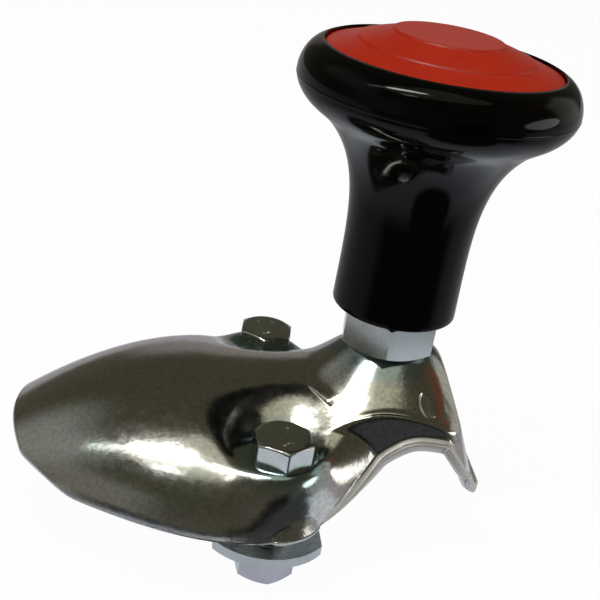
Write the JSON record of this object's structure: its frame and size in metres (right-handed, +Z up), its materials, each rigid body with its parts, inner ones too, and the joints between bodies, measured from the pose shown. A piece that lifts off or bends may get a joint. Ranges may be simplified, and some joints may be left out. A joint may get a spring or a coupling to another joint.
{
  "type": "steering_wheel_spinner_knob",
  "caption": "Steering wheel spinner knob: a gloss black mushroom knob with a red domed cap, turning on ball bearings over a pressed, plated steel clamp with bolts and a lower strap",
  "frame": {"origin": "Where the spindle's axis meets the flat top of the clamp's boss", "axes": "+Z up the spindle to the knob's cap, -X along the tongue that covers the wheel's spoke, +X to the hook outside the wheel's rim, Y along the wheel's rim from bolt to bolt"},
  "size_m": [0.1198, 0.081, 0.1254],
  "materials": {
    "clamp_plate": "bright zinc plate on pressed steel",
    "bolt_plate": "zinc plate",
    "spindle_steel": "zinc plate",
    "knob_black": "high gloss",
    "cap_red": "satin gloss",
    "bearing_steel": "ground and polished",
    "cage_steel": "pressed"
  },
  "bodies": {
    "clamp": {"upper_clamp": "clamp_plate", "bolt_near": "bolt_plate", "bolt_far": "bolt_plate", "spindle": "spindle_steel", "spring_washer": "spindle_steel", "stud_nut": "spindle_steel", "inner_race_low": "bearing_steel", "inner_race_top": "bearing_steel", "spacer_tube": "spindle_steel", "top_washer": "spindle_steel", "top_nut": "spindle_steel"},
    "strap": {"lower_strap": "clamp_plate", "nut_near": "bolt_plate", "nut_far": "bolt_plate"},
    "knob": {"knob_body": "knob_black", "knob_cap": "cap_red", "outer_race_low": "bearing_steel", "outer_race_top": "bearing_steel"},
    "ball_set_low": {"balls_low": "bearing_steel", "cage_low": "cage_steel"},
    "ball_set_top": {"balls_top": "bearing_steel", "cage_top": "cage_steel"}
  },
  "joints": [
    {"name": "knob_spin", "type": "hinge", "parent": "clamp", "child": "knob", "pos_m": [0, 0, 0.04], "axis": [0, 0, 1], "continuous": true},
    {"name": "low_set_spin", "type": "hinge", "parent": "clamp", "child": "ball_set_low", "pos_m": [0, 0, 0.016], "axis": [0, 0, 1], "continuous": true},
    {"name": "top_set_spin", "type": "hinge", "parent": "clamp", "child": "ball_set_top", "pos_m": [0, 0, 0.05], "axis": [0, 0, 1], "continuous": true},
    {"name": "clamp_close", "type": "slide", "parent": "clamp", "child": "strap", "axis": [0, 0, 1], "range_m": [0, 0.0065]}
  ],
  "couplings": [
    {"joint": "low_set_spin", "follows": "knob_spin", "ratio": 0.632},
    {"joint": "top_set_spin", "follows": "knob_spin", "ratio": 0.632}
  ]
}
